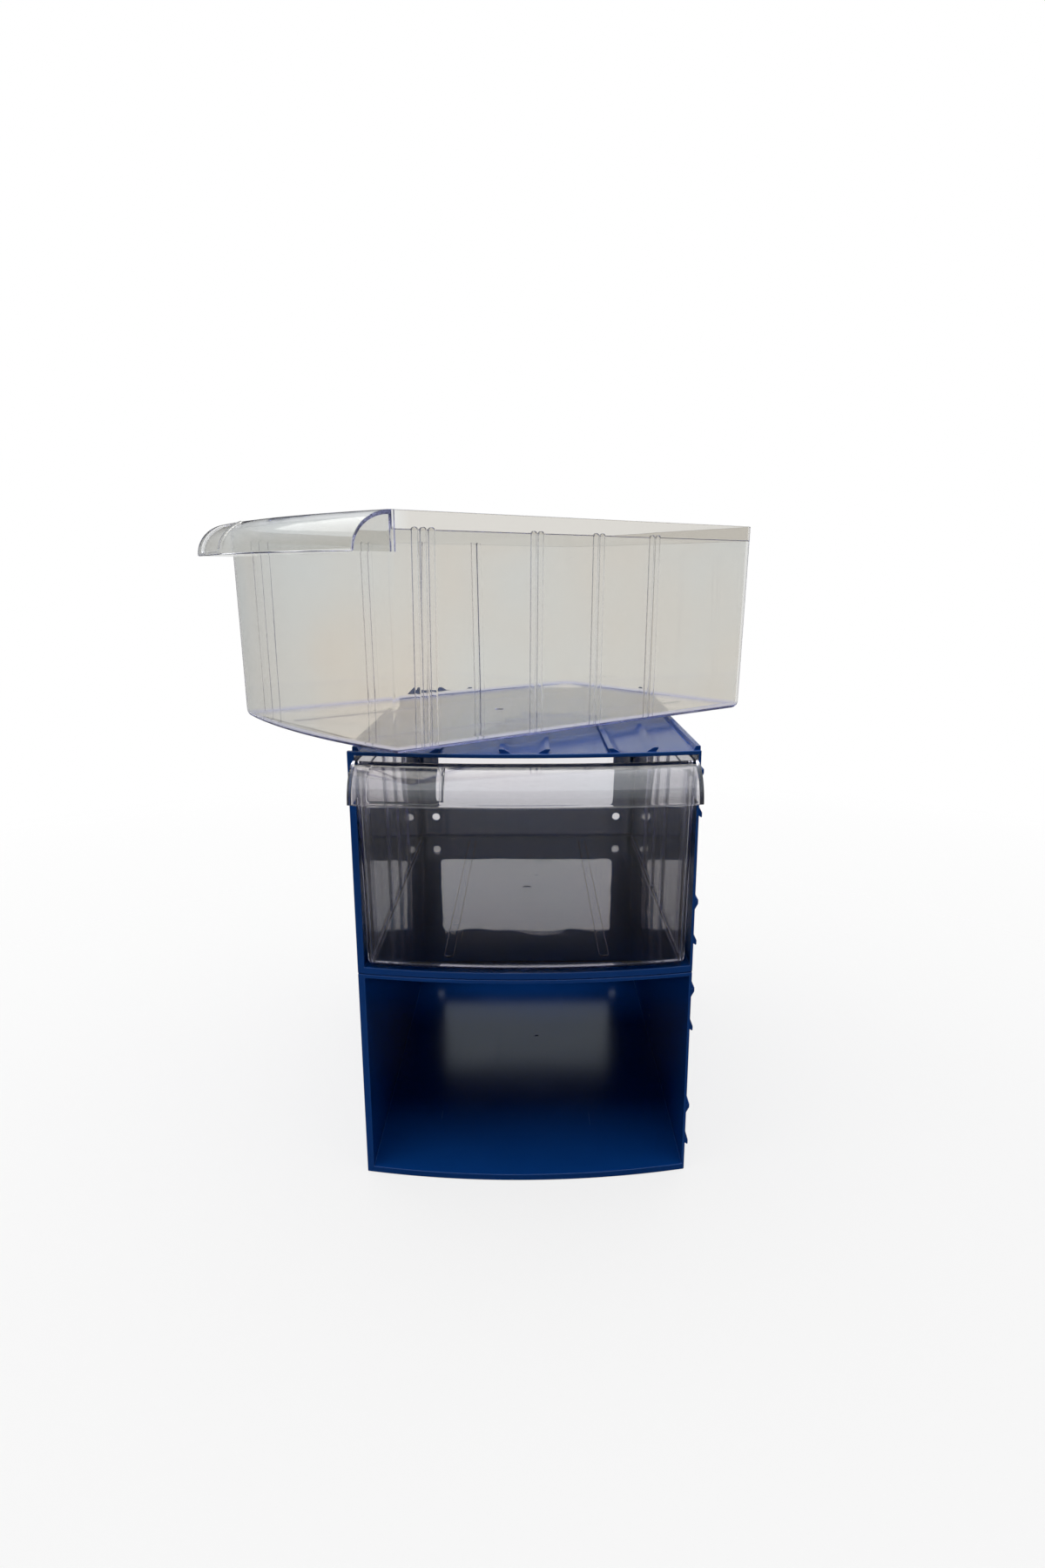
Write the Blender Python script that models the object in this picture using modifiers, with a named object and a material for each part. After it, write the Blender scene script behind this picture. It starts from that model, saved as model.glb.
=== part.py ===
"""Stackable parts organizer: two open-front drawer housings and their two clear drawers.

The upper housing stands on the lower one, dovetail rails holding the two together. One drawer is shut in
the upper housing. The other is set down askew on top, so the lower bay is empty. Metres, +Z up, front to -Y.
"""
import math

import bmesh
import bpy
from mathutils import Matrix

# Housing: overall sizes and walls
MODULE_WIDTH = 0.2000
MODULE_HEIGHT = 0.1344
MODULE_DEPTH = 0.2930
FRONT_BOW = 0.0107
SIDE_WALL = 0.0017
TOP_PLATE = 0.0024
FLOOR_PLATE = 0.0016
BACK_WALL = 0.0020
FRONT_BORDER = 0.0020

# Dovetail rails, measured from the middle of a pair of ribs
RAIL_HEIGHT = 0.0023
RAIL_ROOT_INNER = 0.0075
RAIL_ROOT_WIDTH = 0.0055
RAIL_TIP_WIDTH = 0.0033
RAIL_LEAN = 0.0018
RAIL_SETBACK = 0.0006
CHANNEL_FLANGE = 0.0030
FLANGE_RELIEF = 0.0002
EDGE_RIB_INSET = 0.0002
EDGE_RIB_ROOT = 0.0043
EDGE_RIB_TIP = 0.0030
ROOT_SINK = 0.0004

# Middles of the rail pairs, from the nearest edge of the housing
TOP_PAIR_FROM_SIDE = 0.0390
SIDE_PAIR_FROM_BASE = 0.0304
SIDE_PAIR_FROM_TOP = 0.0254

# Openings in the back wall, from the edges of the housing
WINDOW_FROM_SIDE = 0.0235
WINDOW_FROM_BASE = 0.0320
WINDOW_FROM_TOP = 0.0344
WINDOW_CORNER = 0.0040
HOLE_RADIUS = 0.0033
HOLE_FROM_SIDE = 0.0205
HOLE_FROM_BASE = 0.0225

# Drawer: walls, draft and corners
DRAWER_WALL = 0.0020
DRAWER_FLOOR = 0.0022
SIDE_DRAFT = 0.0018
FRONT_DRAFT = 0.0010
BACK_DRAFT = 0.0018
FRONT_CORNER = 0.0030
BACK_CORNER = 0.0080
BOTTOM_ROUND = 0.0050
RIM_BAND = 0.0095
RIM_STEP = 0.0005
RUNNER_HEIGHT = 0.0010
RUNNER_WIDTH = 0.0060
RUNNER_FROM_SIDE = 0.0490
RUNNER_FROM_END = 0.0180
END_FLAT = 0.0001

# Drawer: hooded finger pull
HOOD_OVERHANG = 0.0010
HOOD_REACH = 0.0220
HOOD_STEP = 0.0002
HOOD_DROP = 0.0203
HOOD_PLATE = 0.0023
HOOD_SHEET = 0.0022
HOOD_CHEEK = 0.0024

# Drawer: divider ribs on the side walls
RIB_WIDTH = 0.0037
RIB_PROUD = 0.0012
RIB_PITCH = 0.0052
RIB_BELOW_BAND = 0.0004
RIB_OFF_FLOOR = 0.0003
RIB_TRIPLE_AT = 0.0175
RIB_PAIR_AT = 0.0940
RIB_PAIR_PITCH = 0.0480
RIB_PAIR_COUNT = 3

# Clearances
FIT_GAP = 0.0003
DRAWER_LEFT_GAP = 0.0004
DRAWER_RIGHT_GAP = 0.0016
DRAWER_TOP_GAP = 0.0027
DRAWER_BACK_GAP = 0.0030

# Where the second drawer lies on top: middle of its front, measured from the middle of the housing's front
LOOSE_DRAWER_X = -0.1250
LOOSE_DRAWER_Y = 0.0413
LOOSE_DRAWER_TURN = math.radians(-50.33)

# Facets of round shapes
BOW_STEPS = 16
CORNER_STEPS = 4
HOLE_STEPS = 12
HOOD_STEPS = 8

# Overshoot of cutting shapes past the faces they cut, and the distance at which points are one
OVER = 0.0200
WELD = 0.000020
SMOOTH_ANGLE = math.radians(30)

# Sizes that follow from the ones above
HALF_WIDTH = MODULE_WIDTH / 2
CHANNEL_DEPTH = RAIL_HEIGHT + FIT_GAP
BAY_LEFT = -HALF_WIDTH + CHANNEL_DEPTH + SIDE_WALL
BAY_RIGHT = HALF_WIDTH - SIDE_WALL
BAY_FLOOR = CHANNEL_DEPTH + FLOOR_PLATE
BAY_TOP = MODULE_HEIGHT - TOP_PLATE
BAY_BACK = MODULE_DEPTH - BACK_WALL
BOW_RADIUS = (HALF_WIDTH ** 2 + FRONT_BOW ** 2) / (2 * FRONT_BOW)
BOW_CENTRE_Y = BOW_RADIUS - FRONT_BOW
RAIL_ROOT_OUTER = RAIL_ROOT_INNER + RAIL_ROOT_WIDTH
RAIL_TIP_OUTER = RAIL_ROOT_OUTER + RAIL_LEAN
RAIL_TIP_INNER = RAIL_TIP_OUTER - RAIL_TIP_WIDTH
SUNK_PART = ROOT_SINK / RAIL_HEIGHT
TOP_PAIRS = (-HALF_WIDTH + TOP_PAIR_FROM_SIDE, 0.0, HALF_WIDTH - TOP_PAIR_FROM_SIDE)
SIDE_PAIRS = (SIDE_PAIR_FROM_BASE, MODULE_HEIGHT - SIDE_PAIR_FROM_TOP)
STACK_PITCH = MODULE_HEIGHT + FIT_GAP
DRAWER_HALF = (BAY_RIGHT - BAY_LEFT - DRAWER_LEFT_GAP - DRAWER_RIGHT_GAP) / 2
DRAWER_CENTRE_X = BAY_LEFT + DRAWER_LEFT_GAP + DRAWER_HALF
DRAWER_HEIGHT = BAY_TOP - BAY_FLOOR - FIT_GAP - DRAWER_TOP_GAP
DRAWER_BACK = BAY_BACK - DRAWER_BACK_GAP
DRAWER_FRONT_OFFSET = FIT_GAP + HOOD_PLATE
DRAWER_FLOOR_TOP = RUNNER_HEIGHT + DRAWER_FLOOR
HOOD_HALF_WIDTH = DRAWER_HALF + HOOD_OVERHANG
HOOD_FOOT = DRAWER_HEIGHT - HOOD_DROP
HOOD_TOP = DRAWER_HEIGHT - HOOD_STEP
HOOD_ROOT = DRAWER_FRONT_OFFSET - DRAWER_WALL / 2
SIDE_SLOPE = SIDE_DRAFT / (DRAWER_HEIGHT - RUNNER_HEIGHT)

# Local X, Y of a profile become world X, Z, its thickness running along Y
ALONG_Y = Matrix(((1, 0, 0, 0), (0, 0, -1, 0), (0, 1, 0, 0), (0, 0, 0, 1)))
# Local X, Y of a profile become world Y, Z, its thickness running along X
ALONG_X = Matrix(((0, 0, 1, 0), (1, 0, 0, 0), (0, 1, 0, 0), (0, 0, 0, 1)))


def clear_scene():
    for obj in list(bpy.data.objects):
        bpy.data.objects.remove(obj, do_unlink=True)


def new_collection(name):
    collection = bpy.data.collections.new(name)
    bpy.context.scene.collection.children.link(collection)
    return collection


def temporary(name, data):
    """An object in the cutters' collection, out of the finished model."""
    obj = bpy.data.objects.new(name, data)
    obj.hide_render = True
    obj.display_type = "WIRE"
    bpy.data.collections["cutters"].objects.link(obj)
    return obj


def evaluated_mesh(obj):
    """The object's mesh with its modifiers applied and double points welded."""
    graph = bpy.context.evaluated_depsgraph_get()
    mesh = bpy.data.meshes.new_from_object(obj.evaluated_get(graph))
    edit = bmesh.new()
    edit.from_mesh(mesh)
    bmesh.ops.remove_doubles(edit, verts=edit.verts, dist=WELD)
    bmesh.ops.recalc_face_normals(edit, faces=edit.faces)
    edit.to_mesh(mesh)
    edit.free()
    return mesh


def prism(outline, low, high, turn=None):
    """A flat outline, as thick as the span from low to high, turned to another plane on request."""
    curve = bpy.data.curves.new("outline", "CURVE")
    curve.dimensions = "2D"
    curve.fill_mode = "BOTH"
    curve.extrude = (high - low) / 2
    spline = curve.splines.new("POLY")
    spline.points.add(len(outline) - 1)
    for point, (across, along) in zip(spline.points, outline):
        point.co = (across, along, 0, 1)
    spline.use_cyclic_u = True
    flat = temporary("outline", curve)
    mesh = evaluated_mesh(flat)
    bpy.data.objects.remove(flat)
    turn = turn or Matrix()
    normal = turn.to_3x3().col[2]
    side = 1 if sum(normal) > 0 else -1
    mesh.transform(Matrix.Translation(normal * side * (low + high) / 2) @ turn)
    return mesh


def box(low, high):
    corners = ((low[0], low[1]), (high[0], low[1]), (high[0], high[1]), (low[0], high[1]))
    return prism(corners, low[2], high[2])


def joined(meshes):
    """Several separate bodies in one mesh."""
    edit = bmesh.new()
    for mesh in meshes:
        edit.from_mesh(mesh)
    result = bpy.data.meshes.new("joined")
    edit.to_mesh(result)
    edit.free()
    return result


def boolean(base, tool, operation):
    target = temporary("target", base)
    cutter = temporary("cutter", tool)
    modifier = target.modifiers.new(operation.lower(), "BOOLEAN")
    modifier.operation = operation
    modifier.solver = "EXACT"
    modifier.object = cutter
    bpy.context.view_layer.update()
    mesh = evaluated_mesh(target)
    bpy.data.objects.remove(target)
    bpy.data.objects.remove(cutter)
    return mesh


def bow_y(x, offset=0.0):
    """Where the bowed front lies at x, offset standing out in front of the housing's own bow."""
    return BOW_CENTRE_Y - math.sqrt((BOW_RADIUS + offset) ** 2 - x ** 2)


def rounded(corners):
    """An outline from (x, y, radius) corners, listed counter-clockwise, with each radius as an arc."""
    outline = []
    count = len(corners)
    for index, (x, y, radius) in enumerate(corners):
        if radius == 0:
            outline.append((x, y))
            continue
        before = corners[index - 1]
        after = corners[(index + 1) % count]
        to_before = math.atan2(before[1] - y, before[0] - x)
        to_after = math.atan2(after[1] - y, after[0] - x)
        opening = (to_before - to_after) % (2 * math.pi)
        middle = to_after + opening / 2
        reach = radius / math.sin(opening / 2)
        centre_x = x + reach * math.cos(middle)
        centre_y = y + reach * math.sin(middle)
        start = to_before + math.pi / 2
        sweep = math.pi - opening
        for step in range(CORNER_STEPS + 1):
            angle = start + sweep * step / CORNER_STEPS
            outline.append((centre_x + radius * math.cos(angle), centre_y + radius * math.sin(angle)))
    return outline


def plan_outline(left, right, back, offset, front_corner=0.0, back_corner=0.0):
    """A plan view with a bowed front edge, square or rounded corners and a straight back."""
    corners = []
    for step in range(BOW_STEPS + 1):
        x = left + (right - left) * step / BOW_STEPS
        radius = front_corner if step in (0, BOW_STEPS) else 0.0
        corners.append((x, bow_y(x, offset), radius))
    corners.append((right, back, back_corner))
    corners.append((left, back, back_corner))
    return rounded(corners)


def rail_pair(middle, base):
    """Two outward-leaning ribs of a dovetail, as outlines across the pair, their sides run on below base."""
    sunk_inner = RAIL_ROOT_INNER - (RAIL_TIP_INNER - RAIL_ROOT_INNER) * SUNK_PART
    sunk_outer = RAIL_ROOT_OUTER - RAIL_LEAN * SUNK_PART
    outlines = []
    for side in (-1, 1):
        rib = [
            (middle + side * sunk_inner, base - ROOT_SINK),
            (middle + side * sunk_outer, base - ROOT_SINK),
            (middle + side * RAIL_TIP_OUTER, base + RAIL_HEIGHT),
            (middle + side * RAIL_TIP_INNER, base + RAIL_HEIGHT),
        ]
        outlines.append(rib if side > 0 else rib[::-1])
    return outlines


def edge_rib(edge, inward):
    """A rib along one edge of the top, upright on its outer side, its inner side run on below the top."""
    sunk = EDGE_RIB_ROOT + (EDGE_RIB_ROOT - EDGE_RIB_TIP) * SUNK_PART
    outside = edge + inward * EDGE_RIB_INSET
    rib = [
        (outside, MODULE_HEIGHT - ROOT_SINK),
        (outside, MODULE_HEIGHT + RAIL_HEIGHT),
        (edge + inward * EDGE_RIB_TIP, MODULE_HEIGHT + RAIL_HEIGHT),
        (edge + inward * sunk, MODULE_HEIGHT - ROOT_SINK),
    ]
    return rib if inward < 0 else rib[::-1]


def channel_pair(middle, base, ceiling):
    """The two flanges that hook over a rail pair, from inside ceiling to just short of base."""
    lean = RAIL_LEAN / RAIL_HEIGHT
    gap = FIT_GAP * math.hypot(1, lean)
    mouth = RAIL_ROOT_OUTER + gap + lean * (FIT_GAP + FLANGE_RELIEF)
    foot = base + FLANGE_RELIEF
    root = ceiling + ROOT_SINK
    throat = mouth + lean * (root - foot)
    outer = throat + CHANNEL_FLANGE
    outlines = []
    for side in (-1, 1):
        flange = [
            (middle + side * mouth, foot),
            (middle + side * outer, foot),
            (middle + side * outer, root),
            (middle + side * throat, root),
        ]
        outlines.append(flange if side > 0 else flange[::-1])
    return outlines


def swapped(outline):
    """An outline mirrored across the diagonal, so that what stood up stands out to the side."""
    return [(second, first) for first, second in reversed(outline)]


def housing_mesh():
    """One housing: a bowed open-front box with rails on its top and right, channels below and on its left."""
    shell = prism(plan_outline(-HALF_WIDTH, HALF_WIDTH, MODULE_DEPTH, 0.0), 0.0, MODULE_HEIGHT)
    bay = prism(plan_outline(BAY_LEFT, BAY_RIGHT, BAY_BACK, OVER), BAY_FLOOR, BAY_TOP)
    shell = boolean(shell, bay, "DIFFERENCE")

    beyond = HALF_WIDTH + OVER
    behind_border = plan_outline(-beyond, beyond, MODULE_DEPTH + OVER, -FRONT_BORDER)
    shell = boolean(shell, prism(behind_border, -OVER, CHANNEL_DEPTH), "DIFFERENCE")
    left_recess = box(
        (-beyond, FRONT_BORDER, -OVER),
        (-HALF_WIDTH + CHANNEL_DEPTH, MODULE_DEPTH + OVER, MODULE_HEIGHT + OVER),
    )
    shell = boolean(shell, left_recess, "DIFFERENCE")

    half_window = HALF_WIDTH - WINDOW_FROM_SIDE
    window_top = MODULE_HEIGHT - WINDOW_FROM_TOP
    window = rounded([
        (-half_window, WINDOW_FROM_BASE, WINDOW_CORNER),
        (half_window, WINDOW_FROM_BASE, WINDOW_CORNER),
        (half_window, window_top, WINDOW_CORNER),
        (-half_window, window_top, WINDOW_CORNER),
    ])
    cuts = [window]
    for side in (-1, 1):
        hole = []
        for step in range(HOLE_STEPS):
            angle = 2 * math.pi * step / HOLE_STEPS
            hole.append((side * (HALF_WIDTH - HOLE_FROM_SIDE) + HOLE_RADIUS * math.cos(angle),
                         HOLE_FROM_BASE + HOLE_RADIUS * math.sin(angle)))
        cuts.append(hole)
    through = [prism(cut, BAY_BACK - OVER, MODULE_DEPTH + OVER, ALONG_Y) for cut in cuts]
    shell = boolean(shell, joined(through), "DIFFERENCE")

    upright = []
    for middle in TOP_PAIRS:
        upright += rail_pair(middle, MODULE_HEIGHT)
    upright.append(edge_rib(HALF_WIDTH, -1))
    upright.append(edge_rib(-HALF_WIDTH + CHANNEL_DEPTH, 1))
    sideways = []
    for middle in SIDE_PAIRS:
        sideways += [swapped(rib) for rib in rail_pair(middle, HALF_WIDTH)]
    ahead = -FRONT_BOW - OVER
    behind = MODULE_DEPTH + OVER
    ribs = [prism(rib, ahead, behind, ALONG_Y) for rib in upright + sideways]
    rail_end = MODULE_DEPTH - RAIL_SETBACK
    rail_start = FRONT_BORDER + RAIL_SETBACK
    rail_zone = prism(plan_outline(-beyond, beyond, rail_end, -rail_start), -OVER, MODULE_HEIGHT + OVER)
    shell = boolean(shell, boolean(joined(ribs), rail_zone, "INTERSECT"), "UNION")

    hanging = []
    for middle in TOP_PAIRS:
        hanging += channel_pair(middle, 0.0, CHANNEL_DEPTH)
    facing_left = []
    for middle in SIDE_PAIRS:
        for flange in channel_pair(middle, -HALF_WIDTH, -HALF_WIDTH + CHANNEL_DEPTH):
            facing_left.append(swapped(flange))
    flanges = [prism(flange, ahead, behind, ALONG_Y) for flange in hanging + facing_left]
    border_middle = FRONT_BORDER / 2
    flange_zone = prism(plan_outline(-beyond, beyond, rail_end, -border_middle), -OVER, MODULE_HEIGHT)
    return boolean(shell, boolean(joined(flanges), flange_zone, "INTERSECT"), "UNION")


def drafted(mesh, low, side, front, back, round_over):
    """The mesh with its lowest ring drawn in towards the middle and its lowest edge rounded."""
    edit = bmesh.new()
    edit.from_mesh(mesh)
    edit.verts.ensure_lookup_table()
    ring = [vert for vert in edit.verts if abs(vert.co.z - low) < FIT_GAP]
    half = max(vert.co.x for vert in ring)
    nearest = min(vert.co.y for vert in ring)
    farthest = max(vert.co.y for vert in ring)
    length = farthest - nearest
    scale_y = (length - front - back) / length
    for vert in ring:
        vert.co.x *= (half - side) / half
        vert.co.y = nearest + front + (vert.co.y - nearest) * scale_y
    inside = set(ring)
    rim = [edge for edge in edit.edges
           if edge.verts[0] in inside and edge.verts[1] in inside
           and any(vert not in inside for face in edge.link_faces for vert in face.verts)]
    bmesh.ops.bevel(edit, geom=rim, offset=round_over, segments=CORNER_STEPS, profile=0.5, affect="EDGES")
    edit.to_mesh(mesh)
    edit.free()
    return mesh


def turned(profile, half_width, low, high):
    """A profile of (distance ahead of the bow, height) turned about the bow's axis, cut to half_width."""
    mesh = bpy.data.meshes.new("profile")
    points = [(BOW_RADIUS + ahead, 0.0, height) for ahead, height in profile]
    count = len(points)
    mesh.from_pydata(points, [(index, (index + 1) % count) for index in range(count)], [])
    sweep = 2 * math.asin((half_width + OVER) / BOW_RADIUS)
    ring = temporary("ring", mesh)
    screw = ring.modifiers.new("turn", "SCREW")
    screw.angle = sweep
    screw.steps = BOW_STEPS
    screw.render_steps = BOW_STEPS
    screw.use_merge_vertices = False
    open_ring = evaluated_mesh(ring)
    bpy.data.objects.remove(ring)
    edit = bmesh.new()
    edit.from_mesh(open_ring)
    bmesh.ops.holes_fill(edit, edges=[edge for edge in edit.edges if edge.is_boundary], sides=0)
    bmesh.ops.recalc_face_normals(edit, faces=edit.faces)
    edit.to_mesh(open_ring)
    edit.free()
    facing_front = Matrix.Rotation(-math.pi / 2 - sweep / 2, 4, "Z")
    open_ring.transform(Matrix.Translation((0, BOW_CENTRE_Y, 0)) @ facing_front)
    slab = box((-half_width, -BOW_RADIUS, low), (half_width, BOW_RADIUS, high))
    return boolean(open_ring, slab, "INTERSECT")


def quarter(inset):
    """A quarter ellipse from inside the front wall forward and down, inset from the hood's outside."""
    reach = DRAWER_FRONT_OFFSET + HOOD_REACH - HOOD_ROOT - inset
    drop = HOOD_TOP - HOOD_FOOT - inset
    points = []
    for step in range(HOOD_STEPS + 1):
        angle = math.pi / 2 * step / HOOD_STEPS
        points.append((HOOD_ROOT + reach * math.sin(angle), HOOD_FOOT + drop * math.cos(angle)))
    return points


def hood_mesh():
    """The finger pull: a curved sheet with a closing cheek at each end, open below."""
    below = HOOD_FOOT - OVER
    above = HOOD_TOP + OVER
    outer = [(FIT_GAP, HOOD_FOOT), (FIT_GAP, HOOD_TOP)] + quarter(0.0)
    inner = quarter(HOOD_SHEET)
    inner += [(inner[-1][0], below), (HOOD_ROOT, below)]
    solid = turned(outer, HOOD_HALF_WIDTH, below, above)
    hollow = turned(inner, HOOD_HALF_WIDTH - HOOD_CHEEK, below - OVER, above)
    return boolean(solid, hollow, "DIFFERENCE")


def rib_meshes():
    """Upright divider ribs, round at the top, on both side walls."""
    places = [RIB_TRIPLE_AT + RIB_PITCH * step for step in (-1, 0, 1)]
    for pair in range(RIB_PAIR_COUNT):
        middle = RIB_PAIR_AT + RIB_PAIR_PITCH * pair
        places += [middle - RIB_PITCH / 2, middle + RIB_PITCH / 2]
    face = DRAWER_HALF - DRAWER_WALL
    top = DRAWER_HEIGHT - RIM_BAND - RIB_BELOW_BAND
    foot = DRAWER_FLOOR_TOP + RIB_OFF_FLOOR
    half = RIB_WIDTH / 2
    slant = Matrix.Identity(4)
    slant[0][2] = SIDE_SLOPE
    slant[0][3] = -SIDE_SLOPE * DRAWER_HEIGHT
    mirror = Matrix.Scale(-1, 4, (1, 0, 0))
    ribs = []
    for place in places:
        outline = rounded([
            (place - half, foot, 0.0),
            (place + half, foot, 0.0),
            (place + half, top, half - END_FLAT),
            (place - half, top, half - END_FLAT),
        ])
        right = prism(outline, face - RIB_PROUD, face + ROOT_SINK, ALONG_X)
        right.transform(slant)
        left = right.copy()
        left.transform(mirror)
        left.flip_normals()
        ribs += [right, left]
    return joined(ribs)


def drawer_mesh():
    """One drawer: a drafted open tub with a hooded front, divider ribs inside and two runners below."""
    plan = plan_outline(-DRAWER_HALF, DRAWER_HALF, DRAWER_BACK, DRAWER_FRONT_OFFSET,
                        FRONT_CORNER, BACK_CORNER)
    tub = drafted(prism(plan, RUNNER_HEIGHT, DRAWER_HEIGHT), RUNNER_HEIGHT,
                  SIDE_DRAFT, FRONT_DRAFT, BACK_DRAFT, BOTTOM_ROUND)

    def inset_plan(wall):
        return plan_outline(-DRAWER_HALF + wall, DRAWER_HALF - wall, DRAWER_BACK - wall,
                            DRAWER_FRONT_OFFSET - wall, max(FRONT_CORNER - wall / 2, END_FLAT),
                            max(BACK_CORNER - wall, END_FLAT))

    hollow = prism(inset_plan(DRAWER_WALL), DRAWER_FLOOR_TOP, DRAWER_HEIGHT + FIT_GAP)
    hollow = drafted(hollow, DRAWER_FLOOR_TOP,
                     SIDE_DRAFT, FRONT_DRAFT, BACK_DRAFT, max(BOTTOM_ROUND - DRAWER_WALL, END_FLAT))
    tub = boolean(tub, hollow, "DIFFERENCE")
    band = prism(inset_plan(DRAWER_WALL - RIM_STEP), DRAWER_HEIGHT - RIM_BAND, DRAWER_HEIGHT + OVER)
    tub = boolean(tub, band, "DIFFERENCE")
    tub = boolean(tub, rib_meshes(), "UNION")
    tub = boolean(tub, hood_mesh(), "UNION")

    half = RUNNER_WIDTH / 2
    offset = DRAWER_HALF - RUNNER_FROM_SIDE
    front = bow_y(offset) + RUNNER_FROM_END
    back = DRAWER_BACK - RUNNER_FROM_END
    runners = []
    for middle in (-offset, offset):
        outline = rounded([
            (middle - half, front, half - END_FLAT),
            (middle + half, front, half - END_FLAT),
            (middle + half, back, half - END_FLAT),
            (middle - half, back, half - END_FLAT),
        ])
        runners.append(prism(outline, 0.0, RUNNER_HEIGHT + DRAWER_FLOOR / 2))
    return boolean(tub, joined(runners), "UNION")


def plastic(name, colour, roughness, alpha=1.0):
    material = bpy.data.materials.new(name)
    material.use_nodes = True
    shader = material.node_tree.nodes["Principled BSDF"]
    shader.inputs["Base Color"].default_value = (*colour, 1.0)
    shader.inputs["Roughness"].default_value = roughness
    shader.inputs["Metallic"].default_value = 0.0
    shader.inputs["Alpha"].default_value = alpha
    return material


def place(name, mesh, material, parent, location, turn=0.0):
    """A finished piece: its own mesh, its own material, its origin on its joint's axis."""
    own = mesh.copy()
    own.name = name
    own.materials.clear()
    own.materials.append(material)
    own.shade_smooth()
    own.set_sharp_from_angle(angle=SMOOTH_ANGLE)
    obj = bpy.data.objects.new(name, own)
    bpy.data.collections["parts organizer"].objects.link(obj)
    obj.parent = parent
    obj.location = location
    obj.rotation_euler = (0, 0, turn)
    return obj


def main():
    clear_scene()
    parts = new_collection("parts organizer")
    new_collection("cutters")

    stand = bpy.data.objects.new("front_foot_frame", None)
    stand.location = (0, FRONT_BOW - FRONT_BORDER / 2, 0)
    parts.objects.link(stand)

    housing = housing_mesh()
    drawer = drawer_mesh()
    blue = (0.006, 0.040, 0.210)
    clear = (0.80, 0.81, 0.83)
    lower = place("lower_housing", housing, plastic("lower_housing_blue", blue, 0.35), stand, (0, 0, 0))
    upper = place("upper_housing", housing, plastic("upper_housing_blue", blue, 0.35), lower,
                  (0, 0, STACK_PITCH))
    place("fitted_drawer", drawer, plastic("fitted_drawer_clear", clear, 0.08, 0.35), upper,
          (DRAWER_CENTRE_X, 0, BAY_FLOOR + FIT_GAP))
    place("loose_drawer", drawer, plastic("loose_drawer_clear", clear, 0.08, 0.35), upper,
          (LOOSE_DRAWER_X, LOOSE_DRAWER_Y, MODULE_HEIGHT + RAIL_HEIGHT + FIT_GAP), LOOSE_DRAWER_TURN)


main()
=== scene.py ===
import math

import bmesh
import bpy
from mathutils import Matrix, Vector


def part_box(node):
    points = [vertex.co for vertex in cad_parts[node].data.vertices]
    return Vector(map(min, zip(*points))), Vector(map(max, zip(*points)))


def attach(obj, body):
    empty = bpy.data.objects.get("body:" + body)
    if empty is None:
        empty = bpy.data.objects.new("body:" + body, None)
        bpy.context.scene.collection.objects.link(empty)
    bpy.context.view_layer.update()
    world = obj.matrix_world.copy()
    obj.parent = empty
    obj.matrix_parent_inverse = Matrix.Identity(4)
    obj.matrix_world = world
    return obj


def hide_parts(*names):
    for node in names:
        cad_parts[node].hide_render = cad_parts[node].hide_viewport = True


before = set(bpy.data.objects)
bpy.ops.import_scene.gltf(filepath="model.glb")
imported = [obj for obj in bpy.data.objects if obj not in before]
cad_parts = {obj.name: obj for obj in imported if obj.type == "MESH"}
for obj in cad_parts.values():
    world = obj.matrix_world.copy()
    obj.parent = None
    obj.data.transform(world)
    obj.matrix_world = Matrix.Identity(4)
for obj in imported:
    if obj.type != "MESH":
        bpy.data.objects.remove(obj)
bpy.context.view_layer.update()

# Boxes of the CAD nodes that the visual pieces stand for
HOUSING_LOW, HOUSING_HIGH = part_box("lower_housing")
STACK_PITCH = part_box("upper_housing")[0].z
DRAWER_LOW, DRAWER_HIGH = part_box("fitted_drawer")
LOOSE_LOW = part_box("loose_drawer")[0]

# Housing: walls, front bow and borders
FRONT_BOW = 0.0107
FRONT_BORDER = 0.0020
SIDE_WALL = 0.0017
TOP_PLATE = 0.0024
FLOOR_PLATE = 0.0016
BACK_WALL = 0.0020

# Dovetail rails and the channels that hook over them, measured from the middle of a pair
RAIL_ROOT_INNER = 0.0075
RAIL_ROOT_WIDTH = 0.0055
RAIL_TIP_WIDTH = 0.0033
RAIL_LEAN = 0.0018
RAIL_SETBACK = 0.0006
CHANNEL_FLANGE = 0.0030
FLANGE_RELIEF = 0.0002
EDGE_RIB_INSET = 0.0002
EDGE_RIB_ROOT = 0.0043
EDGE_RIB_TIP = 0.0030
ROOT_SINK = 0.0004
TOP_PAIR_FROM_SIDE = 0.0390
SIDE_PAIR_FROM_BASE = 0.0304
SIDE_PAIR_FROM_TOP = 0.0254

# Openings in the back wall
WINDOW_FROM_SIDE = 0.0235
WINDOW_FROM_BASE = 0.0320
WINDOW_FROM_TOP = 0.0344
WINDOW_CORNER = 0.0040
HOLE_RADIUS = 0.0033
HOLE_FROM_SIDE = 0.0205
HOLE_FROM_BASE = 0.0225

# Drawer: walls, draft, corners, rim and runners
DRAWER_WALL = 0.0020
DRAWER_FLOOR = 0.0022
SIDE_DRAFT = 0.0018
FRONT_DRAFT = 0.0010
BACK_DRAFT = 0.0018
FRONT_CORNER = 0.0030
BACK_CORNER = 0.0080
BOTTOM_ROUND = 0.0050
INNER_ROUND = 0.0008
RIM_BAND = 0.0095
RIM_STEP = 0.0005
RUNNER_HEIGHT = 0.0010
RUNNER_WIDTH = 0.0060
RUNNER_FROM_SIDE = 0.0490
RUNNER_FROM_END = 0.0180
END_FLAT = 0.0001

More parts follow.
